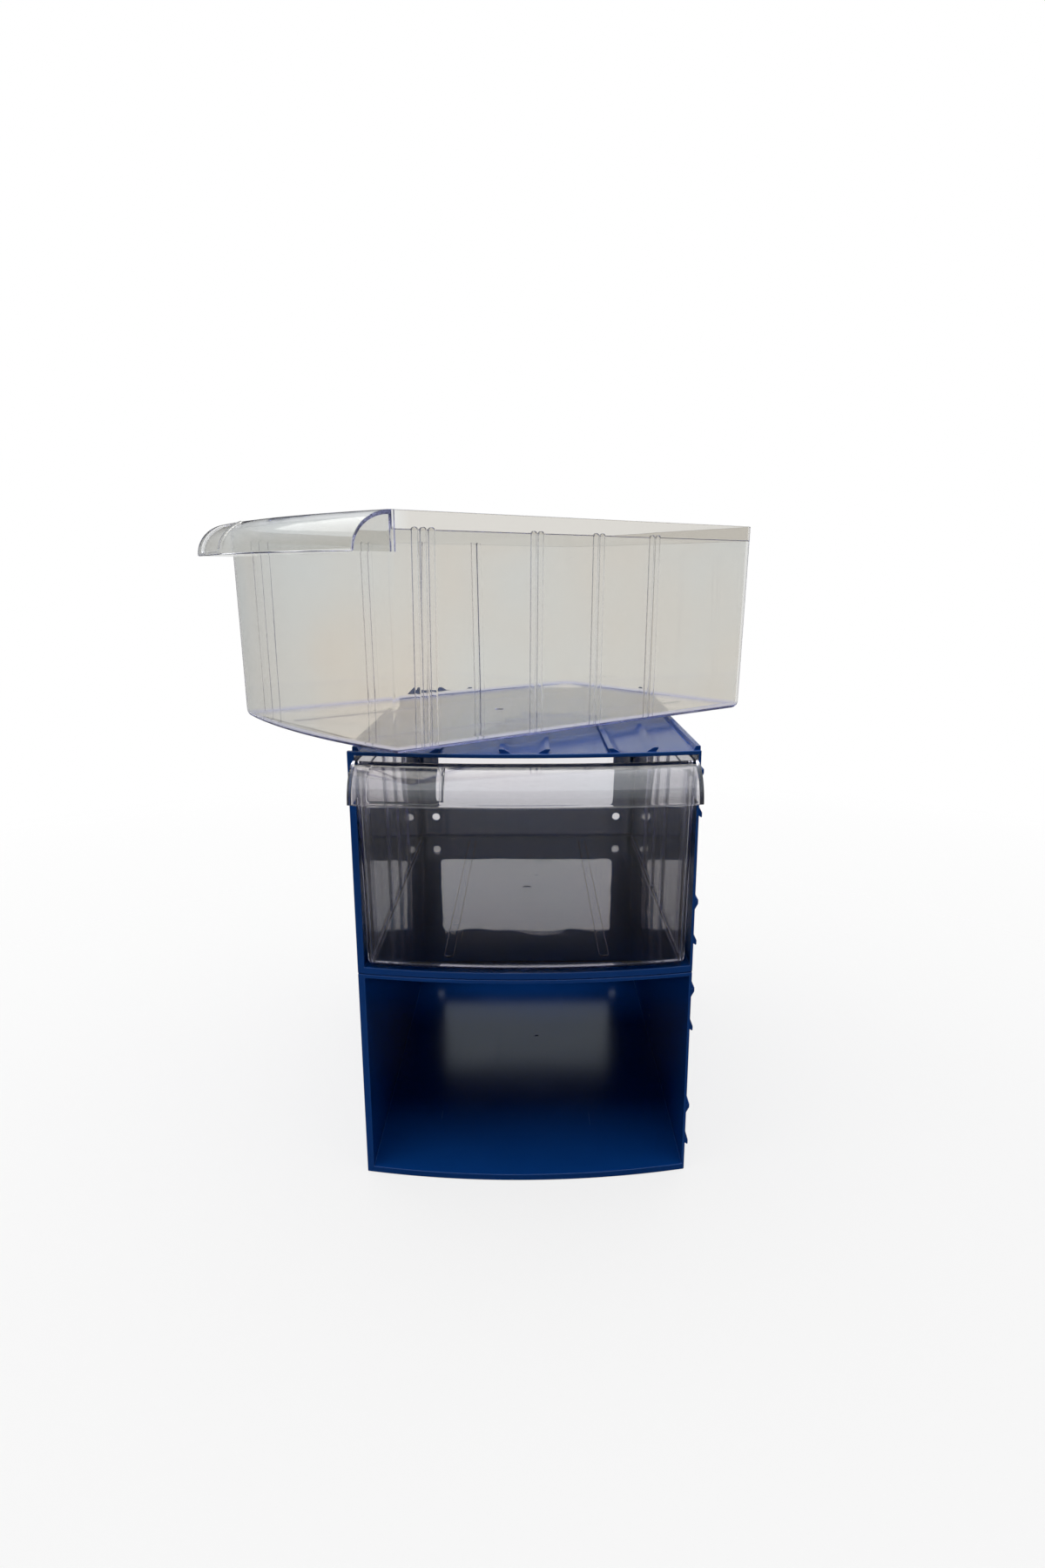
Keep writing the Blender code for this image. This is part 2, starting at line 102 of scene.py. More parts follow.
# Drawer: hooded finger pull and divider ribs
HOOD_OVERHANG = 0.0010
HOOD_STEP = 0.0002
HOOD_DROP = 0.0203
HOOD_PLATE = 0.0023
HOOD_SHEET = 0.0022
HOOD_CHEEK = 0.0024
RIB_WIDTH = 0.0037
RIB_PROUD = 0.0012
RIB_PITCH = 0.0052
RIB_ABOVE_BAND = 0.0016
RIB_OFF_FLOOR = 0.0003
RIB_TRIPLE_AT = 0.0175
RIB_PAIR_AT = 0.0940
RIB_PAIR_PITCH = 0.0480
RIB_PAIR_COUNT = 3

# Gate marks of the moulding in the floors of the bay and the drawer
GATE_RADIUS = 0.0016
DRAWER_GATE_RADIUS = 0.0032
GATE_HEIGHT = 0.0005
GATE_ASIDE = 0.0080
GATE_FROM_BACK = 0.1180

# Drawer: shallow label field on the hood's left part, and the bead that ends it, laid along these steps
# of the hood's curve
LABEL_LEFT = -0.0865
LABEL_RIGHT = -0.0462
LABEL_OFF_FOOT = 0.0018
LABEL_OFF_TOP = 0.0012
LABEL_CORNER = 0.0025
LABEL_DEPTH = 0.0010
LABEL_EASE = 0.0006
BEAD_OFF_LABEL = 0.0014
BEAD_RADIUS = 0.0010
BEAD_SINK = 0.00015
BEAD_STEPS = (4, 17)
BEAD_SIDES = 3

# Where the loose drawer lies: middle of its front, from the middle of the housing's front
LOOSE_X = -0.1250
LOOSE_Y = 0.0413
LOOSE_TURN = math.radians(-50.33)

# Play of the sliding fits, overshoot of cutting shapes, and how near points are when they are the same
FIT_GAP = 0.0003
OVER = 0.0200
WELD = 0.000020

# Facets of round shapes, and the room that the bow leaves for a rounded corner, in corner radii
BOW_STEPS = 40
CORNER_STEPS = 6
HOLE_STEPS = 32
HOOD_STEPS = 18
CORNER_ROOM = 1.5

# Rounding of the moulded edges, and how strongly flat faces keep their own shading beside it
ROUND_PROFILE = 0.5
EASE_ANGLE = math.radians(35)
SMOOTH_ANGLE = math.radians(32)
EASE_STEPS = 3
SHELL_EASE = 0.0006
OPENING_EASE = 0.0005
RAIL_EASE = 0.0005
FLANGE_EASE = 0.0004
RIM_EASE = 0.0004
STEP_EASE = 0.0006
RIB_EASE = 0.00035
LIP_EASE = 0.0009
RUNNER_EASE = 0.0006
FLAT_WEIGHT = 100

# Sizes that follow from the frame and the ones above
RAIL_HEIGHT = HOUSING_HIGH.x + HOUSING_LOW.x
HALF_WIDTH = -HOUSING_LOW.x
MODULE_HEIGHT = HOUSING_HIGH.z - RAIL_HEIGHT
FRAME_Y = FRONT_BOW - FRONT_BORDER / 2
MODULE_DEPTH = HOUSING_HIGH.y - FRAME_Y
CHANNEL_DEPTH = RAIL_HEIGHT + FIT_GAP
BAY_LEFT = -HALF_WIDTH + CHANNEL_DEPTH + SIDE_WALL
BAY_RIGHT = HALF_WIDTH - SIDE_WALL
BAY_FLOOR = CHANNEL_DEPTH + FLOOR_PLATE
BAY_TOP = MODULE_HEIGHT - TOP_PLATE
BAY_BACK = MODULE_DEPTH - BACK_WALL
BEYOND = HALF_WIDTH + OVER
BOW_RADIUS = (HALF_WIDTH ** 2 + FRONT_BOW ** 2) / (2 * FRONT_BOW)
BOW_CENTRE_Y = BOW_RADIUS - FRONT_BOW
RAIL_ROOT_OUTER = RAIL_ROOT_INNER + RAIL_ROOT_WIDTH
RAIL_TIP_OUTER = RAIL_ROOT_OUTER + RAIL_LEAN
RAIL_TIP_INNER = RAIL_TIP_OUTER - RAIL_TIP_WIDTH
SUNK_PART = ROOT_SINK / RAIL_HEIGHT
TOP_PAIRS = (-HALF_WIDTH + TOP_PAIR_FROM_SIDE, 0.0, HALF_WIDTH - TOP_PAIR_FROM_SIDE)
SIDE_PAIRS = (SIDE_PAIR_FROM_BASE, MODULE_HEIGHT - SIDE_PAIR_FROM_TOP)
DRAWER_HEIGHT = DRAWER_HIGH.z - DRAWER_LOW.z
DRAWER_CENTRE_X = (DRAWER_HIGH.x + DRAWER_LOW.x) / 2
HOOD_HALF_WIDTH = (DRAWER_HIGH.x - DRAWER_LOW.x) / 2
DRAWER_HALF = HOOD_HALF_WIDTH - HOOD_OVERHANG
DRAWER_BACK = DRAWER_HIGH.y - FRAME_Y
DRAWER_FRONT_OFFSET = FIT_GAP + HOOD_PLATE
DRAWER_FLOOR_TOP = RUNNER_HEIGHT + DRAWER_FLOOR
RIM_LEDGE = DRAWER_HEIGHT - RIM_BAND
HOOD_REACH = FRAME_Y - FRONT_BOW - DRAWER_FRONT_OFFSET - DRAWER_LOW.y
HOOD_FOOT = DRAWER_HEIGHT - HOOD_DROP
HOOD_TOP = DRAWER_HEIGHT - HOOD_STEP
HOOD_ROOT = DRAWER_FRONT_OFFSET - DRAWER_WALL / 2
SIDE_SLOPE = SIDE_DRAFT / (DRAWER_HEIGHT - RUNNER_HEIGHT)

# Profiles drawn in X, Y turned to stand in X, Z or in Y, Z
ALONG_Y = Matrix(((1, 0, 0, 0), (0, 0, -1, 0), (0, 1, 0, 0), (0, 0, 0, 1)))
ALONG_X = Matrix(((0, 0, 1, 0), (1, 0, 0, 0), (0, 1, 0, 0), (0, 0, 0, 1)))

# Colours, linear
BLUE_DEEP = (0.0028, 0.0590, 0.2850, 1)
BLUE_PALE = (0.0040, 0.0710, 0.3300, 1)
# Pale edges of the blue: wear, and a painted highlight
BLUE_WORN_AND_SHEEN = (0.1000, 0.2300, 0.6400, 1)
# Drawer tints; the rim tints are darker, painted on the rim band as shade
FITTED_COOL = (0.820, 0.832, 0.848, 1)
FITTED_WARM = (0.830, 0.808, 0.818, 1)
FITTED_RIM_SHADE = (0.770, 0.776, 0.788, 1)
LOOSE_COOL = (0.795, 0.805, 0.790, 1)
LOOSE_WARM = (0.815, 0.780, 0.725, 1)
LOOSE_RIM_SHADE = (0.748, 0.728, 0.685, 1)
# Share of the foot edge given a painted pale glow, and the glow's colour
FITTED_FOOT_GLOW = 0.03
LOOSE_FOOT_GLOW = 0.12
CLEAR_EDGE_GLOW = (0.660, 0.680, 0.920, 1)
CLEAR_DEPTH = (0.45, 0.47, 0.70, 1)
CLEAR_DENSITY = 10.0
WHITE = (1, 1, 1, 1)

# Blue plastic: cloudy tone and gloss, rubbed streaks, edges worn pale and painted with a highlight, grain
# and waves of the surface
CLOUD_SCALE = 14.0
CLOUD_DETAIL = 3.0
CLOUD_SPAN = (0.3, 0.7)
CLOUD_ROUGHNESS = (0.17, 0.23)
STREAK_STRETCH = (420.0, 9.0, 420.0)
STREAK_SPAN = (0.62, 0.80)
STREAK_ROUGHNESS = 0.08
WORN_SHEEN_RADIUS = 0.0008
WORN_SHEEN_SAMPLES = 4
WORN_SHEEN_SPAN = (0.98, 0.75)
WORN_SHEEN_SHARE = 0.8
GRAIN_SCALE = 900.0
WAVE_SCALE = 30.0
WAVE_WEIGHT = 12.0
GRAIN_STRENGTH = 0.12
GRAIN_HEIGHT = 0.00002
BLUE_IOR = 1.49
BLUE_SPECULAR = 0.45

# Clear plastic: cloudy tint, finger haze, scuffed foot edge with a painted pale glow, and flow marks,
# weaker on level faces
TINT_SCALE = 7.0
TINT_SPAN = (0.35, 0.65)
HAZE_SCALE = 26.0
HAZE_DETAIL = 4.0
HAZE_SPAN = (0.45, 0.75)
HAZE_ROUGHNESS = 0.015
SCUFF_AND_GLOW_SPAN = (0.98, 0.85)
SCUFF_ROUGHNESS = 0.04
FLOW_STRETCH = (28.0, 28.0, 3.0)
FLOW_LEVELS = (0.1, 0.5)
FLOW_STRENGTHS = (0.25, 0.09)
FLOW_HEIGHT = 0.0015
CLEAR_IOR = 1.52

# Detail of a noise that has no finer layers
PLAIN = 1.0

# Sockets of the node that mixes two colours
MIX_FACTOR = 0
MIX_FIRST = 6
MIX_SECOND = 7
MIX_RESULT = 2

# Floor: its tone straight on, for light that it throws back and in reflections, and the shadow it keeps
FLOOR_WHITE = (0.88, 0.88, 0.88, 1)
FLOOR_BOUNCE = (0.60, 0.60, 0.60, 1)
FLOOR_DARK = (0.04, 0.04, 0.04, 1)
FLOOR_SHADE = 0.22
FLOOR_SIZE = 3.0
FLOOR_DROP = 0.0003
FLOOR_FADE = (0.35, 1.2)

# Surround, the room that reflections show, and the lamp overhead
WORLD_LIGHT = (0.09, 0.09, 0.09, 1)
ROOM_HORIZON = (0.05, 0.05, 0.05, 1)
ROOM_OVERHEAD = (1.20, 1.34, 1.45, 1)
ROOM_RISE = (0.20, 0.80)
LAMP_SIZE = 3.4
LAMP_PLACE = (-0.3, 0.5, 1.9)
LAMP_POWER = 60.0
LIGHT_BOUNCES = 128

# Camera: place, turn and lens
CAMERA_PLACE = (0.00225, -0.51985, 0.36571)
CAMERA_PITCH = 0.25381
CAMERA_YAW = 0.01145
CAMERA_LENS = 21.913
CAMERA_SENSOR = 36.0
CAMERA_SHIFT = (-0.01071, 0.02356)


def temporary(data):
    """An object that only carries a shape while it is being worked on."""
    obj = bpy.data.objects.new("work", data)
    bpy.context.scene.collection.objects.link(obj)
    return obj


def evaluated_mesh(obj):
    """The object's mesh with its modifiers applied and double points welded."""
    graph = bpy.context.evaluated_depsgraph_get()
    mesh = bpy.data.meshes.new_from_object(obj.evaluated_get(graph))
    bpy.data.objects.remove(obj)
    edit = bmesh.new()
    edit.from_mesh(mesh)
    bmesh.ops.remove_doubles(edit, verts=edit.verts, dist=WELD)
    bmesh.ops.recalc_face_normals(edit, faces=edit.faces)
    edit.to_mesh(mesh)
    edit.free()
    return mesh


def prism(outline, low, high, turn=None):
    """A flat outline, as thick as the span from low to high, turned to another plane on request."""
    curve = bpy.data.curves.new("outline", "CURVE")
    curve.dimensions = "2D"
    curve.fill_mode = "BOTH"
    curve.extrude = (high - low) / 2
    spline = curve.splines.new("POLY")
    spline.points.add(len(outline) - 1)
    for point, (across, along) in zip(spline.points, outline):
        point.co = (across, along, 0, 1)
    spline.use_cyclic_u = True
    mesh = evaluated_mesh(temporary(curve))
    turn = turn or Matrix()
    normal = turn.to_3x3().col[2]
    side = 1 if sum(normal) > 0 else -1
    mesh.transform(Matrix.Translation(normal * side * (low + high) / 2) @ turn)
    return mesh


def box(low, high):
    """An upright block between two corners."""
    corners = ((low[0], low[1]), (high[0], low[1]), (high[0], high[1]), (low[0], high[1]))
    return prism(corners, low[2], high[2])


def joined(meshes):
    """Several separate bodies in one mesh."""
    edit = bmesh.new()
    for mesh in meshes:
        edit.from_mesh(mesh)
    result = bpy.data.meshes.new("joined")
    edit.to_mesh(result)
    edit.free()
    return result


def boolean(base, tool, operation):
    """The base joined with, cut by or cut down to the tool."""
    target = temporary(base)
    cutter = temporary(tool)
    modifier = target.modifiers.new(operation.lower(), "BOOLEAN")
    modifier.operation = operation
    modifier.solver = "EXACT"
    modifier.object = cutter
    bpy.context.view_layer.update()
    mesh = evaluated_mesh(target)
    bpy.data.objects.remove(cutter)
    return mesh


def softened(mesh, width, within=None):
    """The mesh with its edges rounded over, all of them or only those whose ends lie within a region."""
    edit = bmesh.new()
    edit.from_mesh(mesh)
    sharp = [edge for edge in edit.edges if edge.calc_face_angle(0.0) > EASE_ANGLE
             and (within is None or all(within(vert.co) for vert in edge.verts))]
    bmesh.ops.bevel(edit, geom=sharp, offset=width, segments=EASE_STEPS,
                    profile=ROUND_PROFILE, affect="EDGES")
    edit.to_mesh(mesh)
    edit.free()
    return mesh


def bow_y(x, offset=0.0):
    """Where the bowed front lies at x, offset standing out in front of the housing's own bow."""
    return BOW_CENTRE_Y - math.sqrt((BOW_RADIUS + offset) ** 2 - x ** 2)


def at_level(level):
    """The region of points that lie at one level."""
    return lambda point: abs(point.z - level) < WELD


def on_front_opening(point):
    """Whether a point lies on the edge of the housing's open front."""
    return (abs(point.y - bow_y(point.x)) < WELD
            and BAY_LEFT - WELD < point.x < BAY_RIGHT + WELD
            and BAY_FLOOR - WELD < point.z < BAY_TOP + WELD)


def rounded(corners):
    """An outline from (x, y, radius) corners, listed counter-clockwise, with each radius as an arc."""
    outline = []
    count = len(corners)
    for index, (x, y, radius) in enumerate(corners):
        if radius == 0:
            outline.append((x, y))
            continue
        before = corners[index - 1]
        after = corners[(index + 1) % count]
        to_before = math.atan2(before[1] - y, before[0] - x)
        to_after = math.atan2(after[1] - y, after[0] - x)
        opening = (to_before - to_after) % (2 * math.pi)
        middle = to_after + opening / 2
        reach = radius / math.sin(opening / 2)
        centre_x = x + reach * math.cos(middle)
        centre_y = y + reach * math.sin(middle)
        start = to_before + math.pi / 2
        sweep = math.pi - opening
        for step in range(CORNER_STEPS + 1):
            angle = start + sweep * step / CORNER_STEPS
            across = centre_x + radius * math.cos(angle)
            along = centre_y + radius * math.sin(angle)
            outline.append((across, along))
    return outline


def plan_outline(left, right, back, offset, front_corner=0.0, back_corner=0.0):
    """A plan view with a bowed front edge, square or rounded corners and a straight back."""
    corners = [(left, bow_y(left, offset), front_corner)]
    inner_left = left + CORNER_ROOM * front_corner
    inner_right = right - CORNER_ROOM * front_corner
    first = 1 if front_corner == 0 else 0
    for step in range(first, BOW_STEPS + 1 - first):
        x = inner_left + (inner_right - inner_left) * step / BOW_STEPS
        corners.append((x, bow_y(x, offset), 0.0))
    corners.append((right, bow_y(right, offset), front_corner))
    corners.append((right, back, back_corner))
    corners.append((left, back, back_corner))
    return rounded(corners)


def eased(outline, root, radius):
    """A profile with its corners rounded, but for those of its foot, sunk within reach of root."""
    return rounded([(x, y, 0.0 if abs(y - root) <= ROOT_SINK + WELD else radius) for x, y in outline])


def rail_pair(middle, base):
    """Two outward-leaning ribs of a dovetail, as outlines across the pair, sides run on below base."""
    sunk_inner = RAIL_ROOT_INNER - (RAIL_TIP_INNER - RAIL_ROOT_INNER) * SUNK_PART
    sunk_outer = RAIL_ROOT_OUTER - RAIL_LEAN * SUNK_PART
    outlines = []
    for side in (-1, 1):
        rib = [
            (middle + side * sunk_inner, base - ROOT_SINK),
            (middle + side * sunk_outer, base - ROOT_SINK),
            (middle + side * RAIL_TIP_OUTER, base + RAIL_HEIGHT),
            (middle + side * RAIL_TIP_INNER, base + RAIL_HEIGHT),
        ]
        outlines.append(eased(rib if side > 0 else rib[::-1], base, RAIL_EASE))
    return outlines


def edge_rib(edge, inward):
    """A rib along one edge of the top, upright on its outer side, its inner side run on below the top."""
    sunk = EDGE_RIB_ROOT + (EDGE_RIB_ROOT - EDGE_RIB_TIP) * SUNK_PART
    outside = edge + inward * EDGE_RIB_INSET
    rib = [
        (outside, MODULE_HEIGHT - ROOT_SINK),
        (outside, MODULE_HEIGHT + RAIL_HEIGHT),
        (edge + inward * EDGE_RIB_TIP, MODULE_HEIGHT + RAIL_HEIGHT),
        (edge + inward * sunk, MODULE_HEIGHT - ROOT_SINK),
    ]
    return eased(rib if inward < 0 else rib[::-1], MODULE_HEIGHT, RAIL_EASE)


def channel_pair(middle, base, ceiling):
    """The two flanges that hook over a rail pair, from inside ceiling to just short of base."""
    lean = RAIL_LEAN / RAIL_HEIGHT
    gap = FIT_GAP * math.hypot(1, lean)
    mouth = RAIL_ROOT_OUTER + gap + lean * (FIT_GAP + FLANGE_RELIEF)
    foot = base + FLANGE_RELIEF
    root = ceiling + ROOT_SINK
    throat = mouth + lean * (root - foot)
    outer = throat + CHANNEL_FLANGE
    outlines = []
    for side in (-1, 1):
        flange = [
            (middle + side * mouth, foot),
            (middle + side * outer, foot),
            (middle + side * outer, root),
            (middle + side * throat, root),
        ]
        outlines.append(eased(flange if side > 0 else flange[::-1], ceiling, FLANGE_EASE))
    return outlines


def swapped(outline):
    """An outline mirrored across the diagonal, so that what stood up stands out to the side."""
    return [(second, first) for first, second in reversed(outline)]


def circle(across, along, radius):
    """A round outline about a middle point."""
    turns = [2 * math.pi * step / HOLE_STEPS for step in range(HOLE_STEPS)]
    return [(across + radius * math.cos(turn), along + radius * math.sin(turn)) for turn in turns]


def back_wall_cuts():
    """The window and the two screw holes in the back wall."""
    half_window = HALF_WIDTH - WINDOW_FROM_SIDE
    window_top = MODULE_HEIGHT - WINDOW_FROM_TOP
    cuts = [rounded([
        (-half_window, WINDOW_FROM_BASE, WINDOW_CORNER),
        (half_window, WINDOW_FROM_BASE, WINDOW_CORNER),
        (half_window, window_top, WINDOW_CORNER),
        (-half_window, window_top, WINDOW_CORNER),
    ])]
    for side in (-1, 1):
        cuts.append(circle(side * (HALF_WIDTH - HOLE_FROM_SIDE), HOLE_FROM_BASE, HOLE_RADIUS))
    return joined([prism(cut, BAY_BACK - OVER, MODULE_DEPTH + OVER, ALONG_Y) for cut in cuts])


def housing_shell():
    """The bowed box, with its bay, the recesses behind its front border and its back openings cut out."""
    shell = prism(plan_outline(-HALF_WIDTH, HALF_WIDTH, MODULE_DEPTH, 0.0), 0.0, MODULE_HEIGHT)
    shell = softened(shell, SHELL_EASE)
    bay = prism(plan_outline(BAY_LEFT, BAY_RIGHT, BAY_BACK, OVER), BAY_FLOOR, BAY_TOP)
    shell = softened(boolean(shell, bay, "DIFFERENCE"), OPENING_EASE, on_front_opening)
    behind_border = plan_outline(-BEYOND, BEYOND, MODULE_DEPTH + OVER, -FRONT_BORDER)
    shell = boolean(shell, prism(behind_border, -OVER, CHANNEL_DEPTH), "DIFFERENCE")
    left_recess = box(
        (-BEYOND, FRONT_BORDER, -OVER),
        (-HALF_WIDTH + CHANNEL_DEPTH, MODULE_DEPTH + OVER, MODULE_HEIGHT + OVER),
    )
    shell = boolean(shell, left_recess, "DIFFERENCE")
    shell = boolean(shell, back_wall_cuts(), "DIFFERENCE")
    gate = circle(GATE_ASIDE, BAY_BACK - GATE_FROM_BACK, GATE_RADIUS)
    return boolean(shell, prism(gate, BAY_FLOOR - GATE_HEIGHT, BAY_TOP), "DIFFERENCE")


def housing_rails():
    """Outlines of the ribs on the housing's top and right side."""
    rails = [edge_rib(HALF_WIDTH, -1), edge_rib(-HALF_WIDTH + CHANNEL_DEPTH, 1)]
    for middle in TOP_PAIRS:
        rails += rail_pair(middle, MODULE_HEIGHT)
    for middle in SIDE_PAIRS:
        rails += [swapped(rib) for rib in rail_pair(middle, HALF_WIDTH)]
    return rails


def housing_flanges():
    """Outlines of the channel flanges under the housing and on its left side."""
    flanges = []
    for middle in TOP_PAIRS:
        flanges += channel_pair(middle, 0.0, CHANNEL_DEPTH)
    for middle in SIDE_PAIRS:
        pair = channel_pair(middle, -HALF_WIDTH, -HALF_WIDTH + CHANNEL_DEPTH)
        flanges += [swapped(flange) for flange in pair]
    return flanges


def with_bars(shell, outlines, front):
    """The shell with long bars added, from a distance behind its bowed front to just before its back."""
    plan = plan_outline(-BEYOND, BEYOND, MODULE_DEPTH - RAIL_SETBACK, -front)
    zone = prism(plan, -OVER, MODULE_HEIGHT + OVER)
    bars = [prism(outline, -FRONT_BOW - OVER, MODULE_DEPTH + OVER, ALONG_Y) for outline in outlines]
    return boolean(shell, boolean(joined(bars), zone, "INTERSECT"), "UNION")


def housing_mesh():
    """One housing: a bowed open-front box, rails on its top and right, channels below and on its left."""
    shell = with_bars(housing_shell(), housing_rails(), FRONT_BORDER + RAIL_SETBACK)
    return with_bars(shell, housing_flanges(), FRONT_BORDER / 2)


def drafted(mesh, low, side, front, back, round_over):
    """The mesh with its lowest ring drawn in towards the middle and its lowest edge rounded."""
    edit = bmesh.new()
    edit.from_mesh(mesh)
    ring = [vert for vert in edit.verts if abs(vert.co.z - low) < FIT_GAP]
    half = max(vert.co.x for vert in ring)
    nearest = min(vert.co.y for vert in ring)
    farthest = max(vert.co.y for vert in ring)
    length = farthest - nearest
    scale_y = (length - front - back) / length
    for vert in ring:
        vert.co.x *= (half - side) / half
        vert.co.y = nearest + front + (vert.co.y - nearest) * scale_y
    inside = set(ring)
    rim = [edge for edge in edit.edges
           if edge.verts[0] in inside and edge.verts[1] in inside
           and any(vert not in inside for face in edge.link_faces for vert in face.verts)]
    bmesh.ops.bevel(edit, geom=rim, offset=round_over, segments=CORNER_STEPS,
                    profile=ROUND_PROFILE, affect="EDGES")
    edit.to_mesh(mesh)
    edit.free()
    return mesh


def turned(profile, half_width, low, high):
    """A profile of (distance ahead of the bow, height) turned about the bow's axis, cut to half_width."""
    mesh = bpy.data.meshes.new("profile")
    points = [(BOW_RADIUS + ahead, 0.0, height) for ahead, height in profile]
    count = len(points)
    mesh.from_pydata(points, [(index, (index + 1) % count) for index in range(count)], [])
    sweep = 2 * math.asin((half_width + OVER) / BOW_RADIUS)
    ring = temporary(mesh)
    screw = ring.modifiers.new("turn", "SCREW")
    screw.angle = sweep
    screw.steps = BOW_STEPS
    screw.render_steps = BOW_STEPS
    screw.use_merge_vertices = False
    open_ring = evaluated_mesh(ring)
    edit = bmesh.new()
    edit.from_mesh(open_ring)
    bmesh.ops.holes_fill(edit, edges=[edge for edge in edit.edges if edge.is_boundary], sides=0)
    bmesh.ops.recalc_face_normals(edit, faces=edit.faces)
    edit.to_mesh(open_ring)
    edit.free()
    facing_front = Matrix.Rotation(-math.pi / 2 - sweep / 2, 4, "Z")
    open_ring.transform(Matrix.Translation((0, BOW_CENTRE_Y, 0)) @ facing_front)
    slab = box((-half_width, -BOW_RADIUS, low), (half_width, BOW_RADIUS, high))
    return boolean(open_ring, slab, "INTERSECT")


def quarter(inset):
    """A quarter ellipse from inside the front wall forward and down, inset from the hood's outside."""
    reach = DRAWER_FRONT_OFFSET + HOOD_REACH - HOOD_ROOT - inset
    drop = HOOD_TOP - HOOD_FOOT - inset
    points = []
    for step in range(HOOD_STEPS + 1):
        angle = math.pi / 2 * step / HOOD_STEPS
        points.append((HOOD_ROOT + reach * math.sin(angle), HOOD_FOOT + drop * math.cos(angle)))
    return points


def quarter_turn(across, up, start):
    """A quarter circle with the lip's radius about a middle point, from start towards straight down."""
    sweep = -math.pi / 2 if start == 0.0 else math.pi / 2
    points = []
    for step in range(EASE_STEPS + 1):
        angle = start + sweep * step / EASE_STEPS
        points.append((across + LIP_EASE * math.cos(angle), up + LIP_EASE * math.sin(angle)))
    return points


def hood_mesh():
    """The finger pull: a curved sheet with a round lip and a closing cheek at each end, open below."""
    below = HOOD_FOOT - OVER
    above = HOOD_TOP + OVER
    outer = quarter(0.0)
    lip = outer.pop()
    outer += quarter_turn(lip[0] - LIP_EASE, HOOD_FOOT + LIP_EASE, 0.0)
    solid = turned([(FIT_GAP, HOOD_FOOT), (FIT_GAP, HOOD_TOP)] + outer, HOOD_HALF_WIDTH, below, above)
    inner = quarter(HOOD_SHEET)
    edge = inner.pop()[0] + LIP_EASE
    inner += quarter_turn(edge, HOOD_FOOT + LIP_EASE, math.pi)
    inner += [(edge, below), (HOOD_ROOT, below)]
    hollow = turned(inner, HOOD_HALF_WIDTH - HOOD_CHEEK, below - OVER, above)
    return boolean(solid, hollow, "DIFFERENCE")


def label_mesh():
    """The skin that is taken off the hood's left part to leave a shallow label field."""
    skin = quarter(LABEL_DEPTH)
    ahead = skin[-1][0] + OVER
    above = HOOD_TOP + OVER
    skin += [(ahead, HOOD_FOOT), (ahead, above), (HOOD_ROOT, above)]
    low = HOOD_FOOT + LABEL_OFF_FOOT
    high = HOOD_TOP - LABEL_OFF_TOP
    field = prism(rounded([
        (LABEL_LEFT, low, LABEL_CORNER),
        (LABEL_RIGHT, low, LABEL_CORNER),
        (LABEL_RIGHT, high, LABEL_CORNER),
        (LABEL_LEFT, high, LABEL_CORNER),
    ]), -FRONT_BOW - 2 * OVER, 0.0, ALONG_Y)
    taken = boolean(turned(skin, HOOD_HALF_WIDTH, HOOD_FOOT - OVER, above + OVER), field, "INTERSECT")
    return softened(taken, LABEL_EASE)


def label_bead_mesh():
    """The round bead on the hood that ends the label field on its right."""
    curve = bpy.data.curves.new("bead", "CURVE")
    curve.dimensions = "3D"
    curve.bevel_depth = BEAD_RADIUS
    curve.bevel_resolution = BEAD_SIDES
    curve.use_fill_caps = True
    x = LABEL_RIGHT + BEAD_OFF_LABEL
    path = quarter(BEAD_SINK)[BEAD_STEPS[0]:BEAD_STEPS[1]]
    spline = curve.splines.new("POLY")
    spline.points.add(len(path) - 1)
    for point, (ahead, height) in zip(spline.points, path):
        point.co = (x, bow_y(x, ahead), height, 1)
    return evaluated_mesh(temporary(curve))


def rib_meshes():
    """Upright divider ribs, round at the top, on both side walls."""
    places = [RIB_TRIPLE_AT + RIB_PITCH * step for step in (-1, 0, 1)]
    for pair in range(RIB_PAIR_COUNT):
        middle = RIB_PAIR_AT + RIB_PAIR_PITCH * pair
        places += [middle - RIB_PITCH / 2, middle + RIB_PITCH / 2]
    face = DRAWER_HALF - DRAWER_WALL
    top = RIM_LEDGE + RIB_ABOVE_BAND
    foot = DRAWER_FLOOR_TOP + RIB_OFF_FLOOR
    half = RIB_WIDTH / 2
    slant = Matrix.Identity(4)
    slant[0][2] = SIDE_SLOPE
    slant[0][3] = -SIDE_SLOPE * DRAWER_HEIGHT
    mirror = Matrix.Scale(-1, 4, (1, 0, 0))
    ribs = []
    for place in places:
        outline = rounded([
            (place - half, foot, 0.0),
            (place + half, foot, 0.0),
            (place + half, top, half - END_FLAT),
            (place - half, top, half - END_FLAT),
        ])
        rib = prism(outline, face - RIB_PROUD, face + RIM_STEP + ROOT_SINK, ALONG_X)
        right = softened(rib, RIB_EASE)
        right.transform(slant)
        left = right.copy()
        left.transform(mirror)
        left.flip_normals()
        ribs += [right, left]
    return joined(ribs)


def inset_plan(wall):
    """The drawer's plan view, drawn in by the wall."""
    half = DRAWER_HALF - wall
    front_corner = max(FRONT_CORNER - wall / 2, END_FLAT)
    back_corner = max(BACK_CORNER - wall, END_FLAT)
    return plan_outline(-half, half, DRAWER_BACK - wall, DRAWER_FRONT_OFFSET - wall,
                        front_corner, back_corner)


